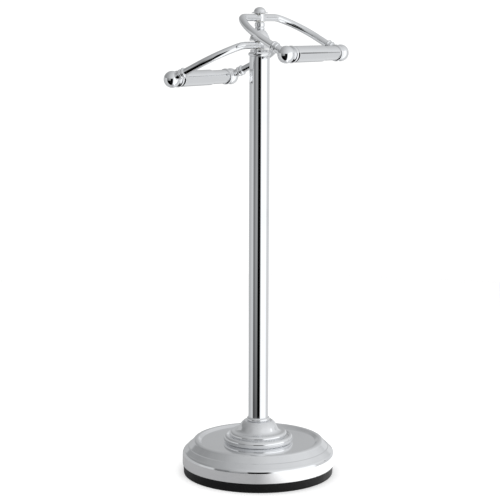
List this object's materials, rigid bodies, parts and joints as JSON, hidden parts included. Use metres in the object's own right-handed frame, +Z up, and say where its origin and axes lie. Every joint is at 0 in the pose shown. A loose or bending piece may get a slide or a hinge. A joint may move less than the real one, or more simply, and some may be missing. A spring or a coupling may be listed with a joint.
{
  "type": "toilet roll storage holder",
  "caption": "Free-standing chrome holder: weighted stepped base, round post and opposed swinging yokes, each carrying a spring-loaded roller for a toilet roll.",
  "frame": {"origin": "on the floor at the centre of the base", "axes": "+Z up along the post; +X towards the upper yoke, -X towards the lower yoke; Y along both rollers, with their outer sleeves at -Y"},
  "size_m": [0.1956, 0.1956, 0.5958],
  "materials": {
    "base_chrome": "polished chrome plate on spun and cast metal",
    "post_chrome": "polished chrome plate on steel tube and turned rings",
    "head_chrome": "polished chrome plate on turned pieces",
    "yoke_chrome": "polished chrome plate on bent rod and turned ends",
    "roller_chrome": "polished chrome plate on thin tube",
    "black_rubber": "matt black",
    "cast_iron": "as cast, hidden",
    "zinc_steel": "bright zinc plate",
    "spring_steel": "drawn wire",
    "pale_nylon": "thin pale washer"
  },
  "bodies": {
    "stand": {"foot_ring": "black_rubber", "base_weight": "cast_iron", "base_cover": "base_chrome", "base_washer": "zinc_steel", "base_nut": "zinc_steel", "pedestal_flange": "base_chrome", "post_foot_ring": "post_chrome", "post_tube": "post_chrome", "tie_rod": "zinc_steel", "post_collar": "post_chrome", "head_stud": "zinc_steel", "lower_seat_washer": "pale_nylon", "lower_cap_washer": "pale_nylon", "bell_spacer": "head_chrome", "neck_spacer": "head_chrome", "upper_seat_washer": "pale_nylon", "upper_cap_washer": "pale_nylon", "finial": "head_chrome"},
    "upper_arm": {"upper_yoke": "yoke_chrome", "upper_front_collar": "yoke_chrome", "upper_back_collar": "yoke_chrome", "upper_front_ball": "yoke_chrome", "upper_back_ball": "yoke_chrome"},
    "lower_arm": {"lower_yoke": "yoke_chrome", "lower_front_collar": "yoke_chrome", "lower_back_collar": "yoke_chrome", "lower_front_ball": "yoke_chrome", "lower_back_ball": "yoke_chrome"},
    "upper_roller": {"upper_outer_sleeve": "roller_chrome", "upper_outer_cap": "roller_chrome", "upper_spring": "spring_steel"},
    "upper_plunger": {"upper_inner_sleeve": "roller_chrome", "upper_inner_cap": "roller_chrome", "upper_spring_seat": "zinc_steel"},
    "lower_roller": {"lower_outer_sleeve": "roller_chrome", "lower_outer_cap": "roller_chrome", "lower_spring": "spring_steel"},
    "lower_plunger": {"lower_inner_sleeve": "roller_chrome", "lower_inner_cap": "roller_chrome", "lower_spring_seat": "zinc_steel"}
  },
  "joints": [
    {"name": "upper_arm_swing", "type": "hinge", "parent": "stand", "child": "upper_arm", "pos_m": [0, 0, 0.5828], "axis": [0, 0, 1], "range_deg": [-25, 25]},
    {"name": "lower_arm_swing", "type": "hinge", "parent": "stand", "child": "lower_arm", "pos_m": [0, 0, 0.5488], "axis": [0, 0, 1], "range_deg": [-25, 25]},
    {"name": "upper_roller_spin", "type": "hinge", "parent": "upper_arm", "child": "upper_roller", "pos_m": [0.07782, 0, 0.53921], "axis": [0, 1, 0], "continuous": true},
    {"name": "upper_plunger_push", "type": "slide", "parent": "upper_roller", "child": "upper_plunger", "axis": [0, -1, 0], "range_m": [0, 0.012], "stiffness_N_per_m": 400, "springref_m": -0.01, "deforming": ["upper_spring"]},
    {"name": "lower_roller_spin", "type": "hinge", "parent": "lower_arm", "child": "lower_roller", "pos_m": [-0.08598, 0, 0.5065], "axis": [0, 1, 0], "continuous": true},
    {"name": "lower_plunger_push", "type": "slide", "parent": "lower_roller", "child": "lower_plunger", "axis": [0, -1, 0], "range_m": [0, 0.012], "stiffness_N_per_m": 400, "springref_m": -0.01, "deforming": ["lower_spring"]}
  ]
}
